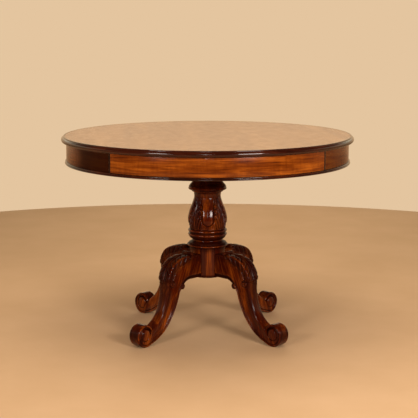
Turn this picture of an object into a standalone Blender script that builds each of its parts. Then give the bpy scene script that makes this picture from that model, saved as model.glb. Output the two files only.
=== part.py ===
"""Round pedestal dining table in polished mahogany, built piece by piece.

Metres, +Z up. The origin is on the floor under the middle of the top, and -Y is the front.
A round top with a moulded edge sits on a hoop frieze. Two bearers and a plate carry it on a
turned column, which a steel rod clamps to a hub with four scrolled legs. Nothing moves.
"""

from math import cos, pi, radians, sin

import bmesh
import bpy
from mathutils import Matrix, Vector

GAP = 0.0003  # between pieces that touch
CUT_SPARE = 0.010  # how far a cutter runs past the face it opens

# Overall
TABLE_HEIGHT = 0.770
TOP_RADIUS = 0.560
TOP_TURN = radians(4.35)  # the top and its frame sit turned on the pedestal
QUADRANT_STEPS = 16  # even, so that the corner joints fall on a step
TURNED_STEPS = 28
SIDES = ("front", "right", "back", "left")
CORNERS = ("front_right", "back_right", "back_left", "front_left")

# Top and its moulded edge
TOP_THICKNESS = 0.024
TOP_UNDERSIDE = TABLE_HEIGHT - TOP_THICKNESS
PANEL_RADIUS = 0.546
EDGE_NOSE_RADIUS = 0.0095
EDGE_NOSE_CENTRE = (TOP_RADIUS - EDGE_NOSE_RADIUS, TABLE_HEIGHT - 0.013)
EDGE_NOSE_UNDERCUT = 0.001
EDGE_FILLET_RADIUS = 0.551
EDGE_FILLET_DEPTH = 0.0035

# Frieze hoop under the top
FRIEZE_RADIUS = 0.541
FRIEZE_THICKNESS = 0.020
FRIEZE_INNER = FRIEZE_RADIUS - FRIEZE_THICKNESS
FRIEZE_BOTTOM = 0.677
STRIP_WIDTH = 0.007
STRIP_DEPTH = 0.003
BEAD_RADIUS = 0.547
BEAD_BOTTOM = 0.666
REED_RADIUS = 0.0027
UPPER_REED_SETBACK = 0.001
BLOCK_SIZE = (0.024, 0.060, 0.056)
BLOCK_BEVEL = 0.003

# Bearers and plate
BEARER_X = 0.110
BEARER_WIDTH = 0.060
BEARER_HEIGHT = 0.0447
BEARER_LENGTH = 0.980
BEARER_END_RISE = 0.022
BEARER_END_RUN = 0.030
BEARER_BOTTOM = TOP_UNDERSIDE - GAP - BEARER_HEIGHT
PLATE_SIDE = 0.300
PLATE_TOP = BEARER_BOTTOM - GAP
PLATE_BOTTOM = PLATE_TOP - 0.0247
PLATE_BEVEL = 0.004

# Column, stacked on the rod
COLLAR_BOTTOM = 0.549
VASE_BOTTOM = 0.404
FLANGE_BOTTOM = 0.336
HUB_RADIUS = 0.070
HUB_BOTTOM = 0.222
SPIGOT_RADIUS = 0.025
SPIGOT_LENGTH = 0.012
ROD_RADIUS = 0.006
ROD_SIDES = 24
BORE_RADIUS = ROD_RADIUS + 0.0006
ROD_ENDS = (0.227, 0.722)
COUNTERBORE_RADIUS = 0.020
COUNTERBORE_DEPTH = 0.022
WASHER_RADIUS = 0.018
WASHER_THICKNESS = 0.0025
WASHER_STEPS = 16
NUT_CORNER_RADIUS = 0.0104
NUT_HEIGHT = 0.010
CAP_RADIUS = 0.062
CAP_THICKNESS = 0.008
CAP_EDGE = ((0.062, 0.003), (0.059, 0.007), (0.055, 0.008))  # radius and depth below the rim

# Legs. Each outline point is a distance from the axis and a height.
LEG_TOP = 0.312
LEG_HOUSING = 0.0645  # the hub's flats stand this far from the axis
LEG_ROOT = LEG_HOUSING + GAP
LEG_HOUSING_WIDTH = 0.080
LEG_HOUSING_DEPTH = 0.020
FOOT_CENTRE = (0.356, 0.0455)
FOOT_RADIUS = 0.0475
FOOT_EAR_RADIUS = 0.040
FOOT_HALF_WIDTH = 0.024
FOOT_EDGE = 0.004
FOOT_EYE_RADIUS = 0.021
FOOT_EYE_RISE = 0.001
FOOT_STEPS = 20
CURL_CENTRE = (0.160, 0.200)
CURL_RADIUS = 0.0115
CURL_HALF_WIDTH = 0.021
LEG_RING_POINTS = 12
LEG_OUTER_SQUARENESS = 4.5
LEG_INNER_SQUARENESS = 10.0
DOWEL_RADIUS = 0.006
DOWEL_LENGTH = 0.060
DOWEL_HEIGHTS = {"lower": 0.252, "upper": 0.290}
DOWEL_FIT = 0.00035

# Wood screws
SCREW_SHANK = 0.0024
SCREW_HEAD = 0.0048
SCREW_HEAD_HEIGHT = 0.0032
SCREW_HEAD_RIM = 0.0006
SCREW_TIP_RADIUS = 0.0011
SCREW_TIP_LENGTH = 0.003
SCREW_TAPER_LENGTH = 0.012
SCREW_SLOT = (0.0012, 0.0014)
PLATE_SCREW_LENGTH = 0.045
PLATE_SCREW_OFFSET = 0.112
BEARER_SCREW_LENGTH = 0.054
BEARER_SCREW_Y = 0.300
BEARER_SCREW_SINK = 0.004
SCREW_FIT = 0.0004
SCREW_STEPS = 12

# sRGB colours, roughness and metallic value
FINISHES = {
    "mahogany_top": ((0.42, 0.17, 0.06), 0.12, 0.0),
    "mahogany_rim": ((0.16, 0.05, 0.03), 0.15, 0.0),
    "mahogany_amber": ((0.54, 0.24, 0.04), 0.18, 0.0),
    "mahogany_red": ((0.20, 0.03, 0.02), 0.16, 0.0),
    "ebonised_line": ((0.05, 0.02, 0.015), 0.20, 0.0),
    "mahogany_carved": ((0.25, 0.08, 0.03), 0.18, 0.0),
    "frame_wood": ((0.62, 0.45, 0.28), 0.65, 0.0),
    "beech": ((0.78, 0.62, 0.42), 0.60, 0.0),
    "plated_steel": ((0.62, 0.62, 0.60), 0.35, 1.0),
}


# ---------------------------------------------------------------- scene and materials


def clear_scene():
    for obj in list(bpy.data.objects):
        bpy.data.objects.remove(obj, do_unlink=True)


def new_collection(name):
    collection = bpy.data.collections.new(name)
    bpy.context.scene.collection.children.link(collection)
    return collection


def linear(value):
    """An sRGB channel as Blender's linear one."""
    return value / 12.92 if value <= 0.04045 else ((value + 0.055) / 1.055) ** 2.4


def principled(name):
    rgb, roughness, metallic = FINISHES[name]
    mat = bpy.data.materials.new(name)
    mat.use_nodes = True
    shader = mat.node_tree.nodes["Principled BSDF"]
    shader.inputs["Base Color"].default_value = (*map(linear, rgb), 1.0)
    shader.inputs["Roughness"].default_value = roughness
    shader.inputs["Metallic"].default_value = metallic
    mat.diffuse_color = (*map(linear, rgb), 1.0)
    return mat


def add_object(name, data, finish, parent=None):
    obj = bpy.data.objects.new(name, data)
    TABLE.objects.link(obj)
    if finish:
        data.materials.clear()
        data.materials.append(MATERIALS[finish])
    obj.parent = parent
    return obj


def as_cutter(obj):
    """Move an object to the cutters, where neither the render nor the build sees it."""
    TABLE.objects.unlink(obj)
    CUTTERS.objects.link(obj)
    obj.display_type = "WIRE"
    obj.hide_render = True
    return obj


# ---------------------------------------------------------------- modelling helpers


def mesh_of(bm, name):
    mesh = bpy.data.meshes.new(name)
    bm.to_mesh(mesh)
    bm.free()
    return mesh


def turned(name, profile, finish, parent=None, steps=TURNED_STEPS, closed=False):
    """A lathe-turned solid. Its profile of (radius, z) runs down the outer side."""
    bm = bmesh.new()
    verts = [bm.verts.new((r, 0.0, z)) for r, z in profile]
    for first, second in zip(verts, verts[1:]):
        bm.edges.new((first, second))
    if closed:
        bm.edges.new((verts[-1], verts[0]))
    obj = add_object(name, mesh_of(bm, name), finish, parent)
    screw = obj.modifiers.new("Turn", "SCREW")
    screw.angle = 2 * pi
    screw.steps = screw.render_steps = steps
    screw.use_merge_vertices = True
    screw.merge_threshold = 1e-5
    screw.use_smooth_shade = True
    return obj


def swept(name, section, start, end, finish, parent=None):
    """A (radius, z) section carried round the axis from one angle to another."""
    bm = bmesh.new()
    turn = Matrix.Rotation(start, 3, "Z")
    face = bm.faces.new([bm.verts.new(turn @ Vector((r, 0.0, z))) for r, z in section])
    bmesh.ops.spin(
        bm,
        geom=[face, *face.edges, *face.verts],
        axis=(0.0, 0.0, 1.0),
        cent=(0.0, 0.0, 0.0),
        angle=end - start,
        steps=QUADRANT_STEPS,
    )
    bmesh.ops.recalc_face_normals(bm, faces=bm.faces)
    return add_object(name, mesh_of(bm, name), finish, parent)


def outlined(name, outline, thickness, finish, parent=None):
    """A flat solid, centred on its own XY plane, as a filled 2D curve."""
    curve = bpy.data.curves.new(name, "CURVE")
    curve.dimensions = "2D"
    curve.fill_mode = "BOTH"
    curve.extrude = thickness / 2
    spline = curve.splines.new("POLY")
    spline.points.add(len(outline) - 1)
    for point, (x, y) in zip(spline.points, outline):
        point.co = (x, y, 0.0, 1.0)
    spline.use_cyclic_u = True
    return add_object(name, curve, finish, parent)


def soften(obj, width):
    chamfer = obj.modifiers.new("Chamfer", "BEVEL")
    chamfer.width = width
    chamfer.segments = 1
    chamfer.angle_limit = radians(40)
    chamfer.limit_method = "ANGLE"


def box(name, size, centre, finish, parent=None, bevel=0.0):
    bm = bmesh.new()
    bmesh.ops.create_cube(bm, size=1.0)
    bmesh.ops.scale(bm, vec=size, verts=bm.verts)
    obj = add_object(name, mesh_of(bm, name), finish, parent)
    obj.location = centre
    if bevel:
        soften(obj, bevel)
    return obj


def rod(name, radius, start, end, finish, parent=None, sides=12):
    """A cylinder between two points."""
    run = Vector(end) - Vector(start)
    bm = bmesh.new()
    bmesh.ops.create_cone(
        bm, cap_ends=True, segments=sides, radius1=radius, radius2=radius, depth=run.length
    )
    obj = add_object(name, mesh_of(bm, name), finish, parent)
    obj.location = (Vector(start) + Vector(end)) / 2
    obj.rotation_euler = run.to_track_quat("Z", "Y").to_euler()
    return obj


def boolean(obj, other, operation="DIFFERENCE"):
    cut = obj.modifiers.new(f"{operation.title()} {other.name}", "BOOLEAN")
    cut.operation = operation
    cut.object = other


def baked(obj):
    """The object's evaluated shape in world space as one welded mesh. The object goes."""
    bpy.context.view_layer.update()
    graph = bpy.context.evaluated_depsgraph_get()
    mesh = bpy.data.meshes.new_from_object(obj.evaluated_get(graph))
    mesh.transform(obj.matrix_world)
    bm = bmesh.new()
    bm.from_mesh(mesh)
    bmesh.ops.remove_doubles(bm, verts=bm.verts, dist=1e-6)
    bm.to_mesh(mesh)
    bm.free()
    bpy.data.objects.remove(obj, do_unlink=True)
    return mesh


def loft(name, rings, finish):
    """A closed skin over rings that hold the same number of points."""
    bm = bmesh.new()
    rows = [[bm.verts.new(point) for point in ring] for ring in rings]
    for row, following in zip(rows, rows[1:]):
        for i, vert in enumerate(row):
            j = (i + 1) % len(row)
            bm.faces.new((vert, row[j], following[j], following[i]))
    bm.faces.new(rows[0])
    bm.faces.new(rows[-1])
    bmesh.ops.recalc_face_normals(bm, faces=bm.faces)
    return add_object(name, mesh_of(bm, name), finish)


def arc(centre, radius, start, end, steps):
    """Points on an arc in a section or outline, angles in degrees."""
    angles = [radians(start + (end - start) * i / steps) for i in range(steps + 1)]
    return [(centre[0] + radius * cos(a), centre[1] + radius * sin(a)) for a in angles]


def smooth_curve(points, samples):
    """A Catmull-Rom curve through the points, with samples between each two."""
    points = [Vector(p) for p in points]
    padded = [2 * points[0] - points[1], *points, 2 * points[-1] - points[-2]]
    curve = []
    for before, here, after, beyond in zip(padded, padded[1:], padded[2:], padded[3:]):
        for i in range(samples):
            t = i / samples
            curve.append(
                here
                + 0.5 * t * (after - before)
                + t * t * (before - 2.5 * here + 2 * after - 0.5 * beyond)
                + 0.5 * t**3 * (3 * here - before - 3 * after + beyond)
            )
    return [*curve, points[-1]]


# ---------------------------------------------------------------- top and edge


def quadrant(index):
    """Start and end angle of a quarter of the hoop, which a side faces."""
    middle = radians(-90 + 90 * index)
    return middle - radians(45), middle + radians(45)


def ends_clear(start, end, radius):
    """The angles drawn in, so that neighbouring quarters stay a gap apart."""
    back = GAP / 2 / radius
    return start + back, end - back


def edge_section():
    """Fillet, quirk and half-round nose of the top's edge."""
    shelf = TABLE_HEIGHT - EDGE_FILLET_DEPTH
    return [
        (PANEL_RADIUS + GAP, TABLE_HEIGHT),
        (EDGE_FILLET_RADIUS, TABLE_HEIGHT),
        (EDGE_FILLET_RADIUS, shelf),
        *arc(EDGE_NOSE_CENTRE, EDGE_NOSE_RADIUS, 68, -90, 7),
        (EDGE_NOSE_CENTRE[0] - EDGE_NOSE_UNDERCUT, TOP_UNDERSIDE),
        (PANEL_RADIUS + GAP, TOP_UNDERSIDE),
    ]


def make_top(parent):
    profile = [
        (0, TABLE_HEIGHT),
        (PANEL_RADIUS, TABLE_HEIGHT),
        (PANEL_RADIUS, TOP_UNDERSIDE),
        (0, TOP_UNDERSIDE),
    ]
    panel = turned("top_panel", profile, "mahogany_top", parent, steps=4 * QUADRANT_STEPS)
    for index, side in enumerate(SIDES):
        start, end = ends_clear(*quadrant(index), PANEL_RADIUS)
        swept(f"top_edge_{side}", edge_section(), start, end, "mahogany_rim", parent)
    return panel


# ---------------------------------------------------------------- frieze


def frieze_outline(start, end):
    """Plan of a quarter hoop, rebated at both ends for the joint strips."""
    first, last = ends_clear(start, end, FRIEZE_INNER)
    rebate = (STRIP_WIDTH / 2 + GAP) / FRIEZE_RADIUS
    floor = FRIEZE_RADIUS - STRIP_DEPTH - GAP
    step = (end - start) / QUADRANT_STEPS
    inner_stops = [start + step * i for i in range(1, QUADRANT_STEPS)]
    outline = [(FRIEZE_RADIUS, a) for a in [start + rebate, *inner_stops, end - rebate]]
    outline += [(floor, end - rebate), (floor, last), (FRIEZE_INNER, last)]
    outline += [(FRIEZE_INNER, a) for a in reversed(inner_stops)]
    outline += [(FRIEZE_INNER, first), (floor, first), (floor, start + rebate)]
    return [(r * cos(a), r * sin(a)) for r, a in outline]


def bead_section():
    """Two reeds, one above the other, on a flat strip as wide as the frieze."""
    lower = (BEAD_RADIUS - REED_RADIUS, BEAD_BOTTOM + REED_RADIUS)
    upper = (lower[0] - UPPER_REED_SETBACK, lower[1] + 2 * REED_RADIUS)
    return [
        (FRIEZE_INNER, FRIEZE_BOTTOM),
        (upper[0], FRIEZE_BOTTOM),
        *arc(upper, REED_RADIUS, 90, -60, 4),
        *arc(lower, REED_RADIUS, 65, -90, 4),
        (FRIEZE_INNER, BEAD_BOTTOM),
    ]


def make_frieze(parent):
    low, high = FRIEZE_BOTTOM + GAP, TOP_UNDERSIDE - GAP
    for index, side in enumerate(SIDES):
        start, end = quadrant(index)
        finish = "mahogany_amber" if side in ("front", "back") else "mahogany_red"
        segment = outlined(f"frieze_{side}", frieze_outline(start, end), high - low, finish, parent)
        segment.location.z = (low + high) / 2
        first, last = ends_clear(start, end, FRIEZE_INNER)
        swept(f"frieze_bead_{side}", bead_section(), first, last, "mahogany_rim", parent)
    for index, corner in enumerate(CORNERS):
        angle = quadrant(index)[1]
        outward = Vector((cos(angle), sin(angle), 0))
        strip = box(
            f"frieze_strip_{corner}",
            (STRIP_DEPTH, STRIP_WIDTH, high - low),
            outward * (FRIEZE_RADIUS - STRIP_DEPTH / 2) + Vector((0, 0, (low + high) / 2)),
            "ebonised_line",
            parent,
        )
        strip.rotation_euler.z = angle


def make_blocks(parent):
    """Glue blocks inside the hoop: one behind each joint and one at each quarter's middle."""
    depth, width, height = BLOCK_SIZE
    step = radians(90) / QUADRANT_STEPS
    places = {corner: quadrant(i)[1] for i, corner in enumerate(CORNERS)}
    places |= {side: sum(quadrant(i)) / 2 for i, side in enumerate(SIDES)}
    flat_to_face = FRIEZE_INNER * cos(step / 2) - width / 2 * sin(step) - GAP
    for place, angle in places.items():
        block = box(
            f"frieze_block_{place}",
            (depth, width, height),
            Vector((cos(angle), sin(angle), 0)) * (flat_to_face - depth / 2)
            + Vector((0, 0, TOP_UNDERSIDE - GAP - height / 2)),
            "frame_wood",
            parent,
            bevel=BLOCK_BEVEL,
        )
        block.rotation_euler.z = angle


# ---------------------------------------------------------------- bearers, plate, screws


def screw_profile(length, grow=0.0):
    """A countersunk wood screw that stands on its head, with its point up."""
    neck = SCREW_HEAD_HEIGHT + grow
    return [
        (0, length + grow),
        (SCREW_TIP_RADIUS + grow, length - SCREW_TIP_LENGTH),
        (SCREW_SHANK + grow, length - SCREW_TAPER_LENGTH),
        (SCREW_SHANK + grow, neck),
        (SCREW_HEAD + grow, SCREW_HEAD_RIM),
        (SCREW_HEAD + grow, -grow),
        (0, -grow),
    ]


def screw_mesh(name, length):
    obj = turned(name, screw_profile(length), None, steps=SCREW_STEPS)
    slot_width, slot_depth = SCREW_SLOT
    slot = box(f"{name}_slot", (3 * SCREW_HEAD, slot_width, 2 * slot_depth), (0, 0, 0), None)
    boolean(obj, as_cutter(slot))
    return baked(obj)


def drive_screws(stem, length, heads, targets, parent):
    """Wood screws with their heads at the given points, and their holes in the targets."""
    mesh = screw_mesh(stem, length)
    hole_profile = screw_profile(length, SCREW_FIT)
    for number, head in enumerate(heads, start=1):
        screw = add_object(f"{stem}_{number}", mesh, "plated_steel", parent)
        screw.location = head
        hole = turned(f"{stem}_hole_{number}", hole_profile, None, parent, steps=SCREW_STEPS)
        hole.location = head
        as_cutter(hole)
        for target in targets:
            boolean(target, hole)


def make_bearers(parent):
    half, height = BEARER_LENGTH / 2, BEARER_HEIGHT
    outline = [
        (-half, height),
        (-half, BEARER_END_RISE),
        (-half + BEARER_END_RUN, 0),
        (half - BEARER_END_RUN, 0),
        (half, BEARER_END_RISE),
        (half, height),
    ]
    bearers = []
    for side, x in (("left", -BEARER_X), ("right", BEARER_X)):
        blank = outlined(f"bearer_{side}_blank", outline, BEARER_WIDTH, None)
        blank.rotation_euler = (pi / 2, 0, pi / 2)
        blank.location = (x, 0, BEARER_BOTTOM)
        bearers.append(add_object(f"bearer_{side}", baked(blank), "frame_wood", parent))
    return bearers


def make_plate(parent):
    plate = box(
        "pedestal_plate",
        (PLATE_SIDE, PLATE_SIDE, PLATE_TOP - PLATE_BOTTOM),
        (0, 0, (PLATE_TOP + PLATE_BOTTOM) / 2),
        "frame_wood",
        parent,
        bevel=PLATE_BEVEL,
    )
    low, high = (0, 0, PLATE_BOTTOM - CUT_SPARE), (0, 0, PLATE_TOP + CUT_SPARE)
    bore = rod("plate_bore", BORE_RADIUS, low, high, None, sides=ROD_SIDES)
    boolean(plate, as_cutter(bore))
    return plate


def make_frame(panel, parent):
    bearers = make_bearers(parent)
    plate = make_plate(parent)
    spread = PLATE_SCREW_OFFSET
    plate_heads = [(x, y, PLATE_BOTTOM) for x in (-spread, spread) for y in (-spread, spread)]
    drive_screws("plate_screw", PLATE_SCREW_LENGTH, plate_heads, [plate, *bearers], parent)
    sunk, along = BEARER_BOTTOM + BEARER_SCREW_SINK, BEARER_SCREW_Y
    heads = [(x, y, sunk) for x in (-BEARER_X, BEARER_X) for y in (-along, along)]
    drive_screws("bearer_screw", BEARER_SCREW_LENGTH, heads, [panel, *bearers], parent)
    for number, (x, y, z) in enumerate(heads, start=1):
        below = (x, y, BEARER_BOTTOM - CUT_SPARE)
        mouth = rod(f"bearer_mouth_{number}", SCREW_HEAD + SCREW_FIT, below, (x, y, z), None, parent)
        as_cutter(mouth)
        for bearer in bearers:
            boolean(bearer, mouth)


# ---------------------------------------------------------------- column


def make_column():
    bore, spigot, socket = BORE_RADIUS, SPIGOT_RADIUS, SPIGOT_RADIUS + GAP
    collar = [
        (0.072, PLATE_BOTTOM - GAP),
        (0.072, 0.663),
        (0.064, 0.655),
        (0.054, 0.647),
        (0.050, 0.632),
        (0.050, 0.606),
        (0.055, 0.593),
        (0.0627, 0.5816),
        (0.0697, 0.5738),
        (0.0742, 0.562),
        (0.0736, 0.558),
        (0.0667, 0.554),
        (0.057, 0.5515),
        (0.057, COLLAR_BOTTOM + GAP),
        (socket, COLLAR_BOTTOM + GAP),
        (socket, COLLAR_BOTTOM + SPIGOT_LENGTH + GAP),
        (bore, COLLAR_BOTTOM + SPIGOT_LENGTH + GAP),
        (bore, PLATE_BOTTOM - GAP),
    ]
    vase = [
        (spigot, COLLAR_BOTTOM + SPIGOT_LENGTH),
        (spigot, COLLAR_BOTTOM),
        (0.056, COLLAR_BOTTOM),
        (0.0522, 0.542),
        (0.0503, 0.530),
        (0.0540, 0.515),
        (0.0597, 0.499),
        (0.0659, 0.487),
        (0.0704, 0.471),
        (0.0739, 0.456),
        (0.0760, 0.444),
        (0.0745, 0.424),
        (0.0725, 0.412),
        (0.0705, VASE_BOTTOM + GAP),
        (socket, VASE_BOTTOM + GAP),
        (socket, VASE_BOTTOM + SPIGOT_LENGTH + 2 * GAP),
        (bore, VASE_BOTTOM + SPIGOT_LENGTH + 2 * GAP),
        (bore, COLLAR_BOTTOM + SPIGOT_LENGTH),
    ]
    base = [
        (spigot, VASE_BOTTOM + SPIGOT_LENGTH),
        (spigot, VASE_BOTTOM),
        (0.0715, VASE_BOTTOM),
        *arc((0.0695, 0.397), 0.006, 70, -65, 3),
        (0.0705, 0.388),
        *arc((0.0700, 0.380), 0.006, 70, -50, 3),
        (0.066, 0.366),
        (0.057, 0.3615),
        (0.057, 0.3585),
        (0.066, 0.352),
        (0.0705, 0.348),
        (0.0748, 0.344),
        (0.078, 0.340),
        (0.078, FLANGE_BOTTOM + GAP),
        (spigot, FLANGE_BOTTOM + GAP),
        (spigot, FLANGE_BOTTOM - SPIGOT_LENGTH + GAP),
        (bore, FLANGE_BOTTOM - SPIGOT_LENGTH + GAP),
        (bore, VASE_BOTTOM + SPIGOT_LENGTH),
    ]
    turned("column_collar", collar, "mahogany_carved", closed=True)
    turned("column_vase", vase, "mahogany_carved", closed=True)
    turned("column_base", base, "mahogany_carved", closed=True)


def make_hub():
    counterbore_top = HUB_BOTTOM + COUNTERBORE_DEPTH
    socket_floor = FLANGE_BOTTOM - SPIGOT_LENGTH
    profile = [
        (HUB_RADIUS, FLANGE_BOTTOM),
        (HUB_RADIUS, HUB_BOTTOM),
        (COUNTERBORE_RADIUS, HUB_BOTTOM),
        (COUNTERBORE_RADIUS, counterbore_top),
        (BORE_RADIUS, counterbore_top),
        (BORE_RADIUS, socket_floor),
        (SPIGOT_RADIUS + GAP, socket_floor),
        (SPIGOT_RADIUS + GAP, FLANGE_BOTTOM),
    ]
    hub = turned("hub_block", profile, "mahogany_carved", closed=True)
    rim = HUB_BOTTOM - GAP
    edge = [(radius, rim - depth) for radius, depth in CAP_EDGE]
    cap = [(0, rim), (CAP_RADIUS, rim), *edge, (0, rim - CAP_THICKNESS)]
    turned("hub_cap", cap, "mahogany_carved")
    return hub


def washer(name, top):
    bottom, hole = top - WASHER_THICKNESS, BORE_RADIUS
    ring = [(WASHER_RADIUS, top), (WASHER_RADIUS, bottom), (hole, bottom), (hole, top)]
    turned(name, ring, "plated_steel", steps=WASHER_STEPS, closed=True)


def hex_nut(name, top):
    bottom = top - NUT_HEIGHT
    nut = rod(name, NUT_CORNER_RADIUS, (0, 0, bottom), (0, 0, top), "plated_steel", sides=6)
    low, high = (0, 0, bottom - CUT_SPARE), (0, 0, top + CUT_SPARE)
    tapped = rod(f"{name}_bore", ROD_RADIUS + GAP, low, high, None, sides=ROD_SIDES)
    boolean(nut, as_cutter(tapped))


def make_rod():
    low, high = ROD_ENDS
    rod("column_rod", ROD_RADIUS, (0, 0, low), (0, 0, high), "plated_steel", sides=ROD_SIDES)
    washer("rod_washer_top", PLATE_TOP + GAP + WASHER_THICKNESS)
    hex_nut("rod_nut_top", PLATE_TOP + 2 * GAP + WASHER_THICKNESS + NUT_HEIGHT)
    lower_washer_top = HUB_BOTTOM + COUNTERBORE_DEPTH - GAP
    washer("rod_washer_bottom", lower_washer_top)
    hex_nut("rod_nut_bottom", lower_washer_top - WASHER_THICKNESS - GAP)


# ---------------------------------------------------------------- legs


def leg_stations():
    """Down the leg: an outer and an inner outline point, and half the width."""
    knots = [
        # outer s, outer z, inner s, inner z, half width
        (LEG_ROOT, LEG_TOP, LEG_ROOT, 0.2225, 0.0270),
        (0.105, 0.313, 0.098, 0.2225, 0.0272),
        (0.157, 0.314, 0.136, 0.2210, 0.0280),
        (0.209, 0.293, 0.163, 0.2020, 0.0280),
        (0.239, 0.249, 0.178, 0.1810, 0.0270),
        (0.2435, 0.196, 0.184, 0.1560, 0.0245),
        (0.2525, 0.152, 0.197, 0.1200, 0.0225),
        (0.268, 0.1145, 0.221, 0.0800, 0.0220),
        (0.2885, 0.0880, 0.254, 0.0440, 0.0225),
        (0.3135, 0.0740, 0.302, 0.0140, 0.0230),
        (0.340, 0.060, 0.345, 0.0040, 0.0230),
    ]
    outer = smooth_curve([(k[0], k[1]) for k in knots], 2)
    inner = smooth_curve([(k[2], k[3]) for k in knots], 2)
    widths = smooth_curve([(k[4], 0.0) for k in knots], 2)
    return [(o, i, w.x) for o, i, w in zip(outer, inner, widths)]


def rounded(value, squareness):
    """A cosine or sine pulled out towards 1, which squares a circle's corners."""
    return abs(value) ** (2 / squareness) * (1 if value > 0 else -1)


def leg_ring(outer, inner, half_width):
    """Across the leg: round-cornered on its outer side, square on its inner side."""
    middle, reach = (outer + inner) / 2, (outer - inner) / 2
    ring = []
    for i in range(LEG_RING_POINTS):
        angle = 2 * pi * i / LEG_RING_POINTS
        squareness = LEG_OUTER_SQUARENESS if cos(angle) > 0 else LEG_INNER_SQUARENESS
        point = middle + reach * rounded(cos(angle), squareness)
        ring.append((point.x, half_width * rounded(sin(angle), squareness), point.y))
    return ring


def foot_outline():
    """The scroll foot from the side. Its lowest stretch is flat, to stand on."""
    centre_s, centre_z = FOOT_CENTRE
    outline = []
    for i in range(FOOT_STEPS):
        turn = (i + 0.5) / FOOT_STEPS
        angle = -pi / 2 + 2 * pi * turn
        radius = FOOT_EAR_RADIUS + (FOOT_RADIUS - FOOT_EAR_RADIUS) * abs(1 - 2 * turn) ** 3
        outline.append((centre_s + radius * cos(angle), max(centre_z + radius * sin(angle), 0.0)))
    return outline


def leg_mesh():
    """One leg along +X, with its scrolls joined on and its dowel holes bored."""
    leg = loft("leg_blank", [leg_ring(*station) for station in leg_stations()], None)
    upright = (pi / 2, 0, 0)
    scroll = outlined("foot_scroll", foot_outline(), 2 * FOOT_HALF_WIDTH, None)
    scroll.rotation_euler = upright
    scroll = add_object("foot_scroll_solid", baked(scroll), None)
    soften(scroll, FOOT_EDGE)
    s, z = FOOT_CENTRE
    eye_reach = FOOT_HALF_WIDTH + FOOT_EYE_RISE
    eye = rod("foot_eye", FOOT_EYE_RADIUS, (s, -eye_reach, z), (s, eye_reach, z), None, sides=18)
    s, z = CURL_CENTRE
    curl = rod("knee_curl", CURL_RADIUS, (s, -CURL_HALF_WIDTH, z), (s, CURL_HALF_WIDTH, z), None, sides=14)
    for extra in (scroll, eye, curl):
        boolean(leg, as_cutter(extra), "UNION")
    for height in DOWEL_HEIGHTS.values():
        boolean(leg, dowel_hole(0.0, height))
    return baked(leg)


def dowel_ends(angle, height, spare=0.0):
    half = DOWEL_LENGTH / 2 + spare
    outward = Vector((cos(angle), sin(angle), 0))
    return [outward * (LEG_HOUSING + along) + Vector((0, 0, height)) for along in (-half, half)]


def dowel_hole(angle, height):
    start, end = dowel_ends(angle, height, spare=GAP)
    return as_cutter(rod("dowel_hole", DOWEL_RADIUS + DOWEL_FIT, start, end, None))


def make_legs(hub):
    mesh = leg_mesh()
    low, high = HUB_BOTTOM - CUT_SPARE, LEG_TOP + 2 * GAP
    for index, corner in enumerate(CORNERS):
        angle = radians(-45 + 90 * index)
        leg = add_object(f"leg_{corner}", mesh, "mahogany_carved")
        leg.rotation_euler.z = angle
        outward = Vector((cos(angle), sin(angle), 0))
        housing = box(
            f"housing_{corner}",
            (LEG_HOUSING_DEPTH, LEG_HOUSING_WIDTH, high - low),
            outward * (LEG_HOUSING + LEG_HOUSING_DEPTH / 2) + Vector((0, 0, (high + low) / 2)),
            None,
        )
        housing.rotation_euler.z = angle
        boolean(hub, as_cutter(housing))
        for level, height in DOWEL_HEIGHTS.items():
            start, end = dowel_ends(angle, height)
            rod(f"leg_dowel_{level}_{corner}", DOWEL_RADIUS, start, end, "beech")
            boolean(hub, dowel_hole(angle, height))


# ---------------------------------------------------------------- build

clear_scene()
TABLE = new_collection("pedestal_dining_table")
CUTTERS = new_collection("cutters")
MATERIALS = {name: principled(name) for name in FINISHES}

top_frame = bpy.data.objects.new("top_frame", None)
TABLE.objects.link(top_frame)
top_frame.rotation_euler.z = TOP_TURN

top_panel = make_top(top_frame)
make_frieze(top_frame)
make_blocks(top_frame)
make_frame(top_panel, top_frame)
make_column()
hub_block = make_hub()
make_rod()
make_legs(hub_block)
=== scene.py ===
"""Looks of a round pedestal dining table in polished mahogany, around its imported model.

Metres, in the model's own frame: +Z up, the origin on the floor under the top, -Y to the front.
"""

from math import acos, cos, pi, radians, sin
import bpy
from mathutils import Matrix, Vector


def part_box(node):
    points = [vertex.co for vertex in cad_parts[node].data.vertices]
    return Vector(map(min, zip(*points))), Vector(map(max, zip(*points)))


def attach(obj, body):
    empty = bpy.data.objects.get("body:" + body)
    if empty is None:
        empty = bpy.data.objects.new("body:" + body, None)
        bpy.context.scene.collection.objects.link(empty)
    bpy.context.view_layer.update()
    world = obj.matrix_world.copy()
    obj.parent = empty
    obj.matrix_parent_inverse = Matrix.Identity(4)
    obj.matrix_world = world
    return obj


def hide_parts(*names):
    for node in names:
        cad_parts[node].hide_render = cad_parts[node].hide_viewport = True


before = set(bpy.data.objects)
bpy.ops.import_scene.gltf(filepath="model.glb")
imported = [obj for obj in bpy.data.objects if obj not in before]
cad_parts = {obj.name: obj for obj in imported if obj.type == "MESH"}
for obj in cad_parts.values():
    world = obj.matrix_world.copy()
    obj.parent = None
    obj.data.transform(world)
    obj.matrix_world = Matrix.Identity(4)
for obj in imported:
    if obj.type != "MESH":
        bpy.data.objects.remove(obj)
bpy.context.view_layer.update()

from types import SimpleNamespace
from typing import NamedTuple

import bmesh
import bpy
import numpy as np
from mathutils import Matrix, Vector


class Moulding(NamedTuple):
    """A bead, or a groove if its rise is negative: its middle, its half width and its rise."""

    at: float
    width: float
    rise: float


SIDES = ("front", "right", "back", "left")
CORNERS = ("front_right", "back_right", "back_left", "front_left")
GAP = 0.0003  # between pieces that touch

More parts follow.
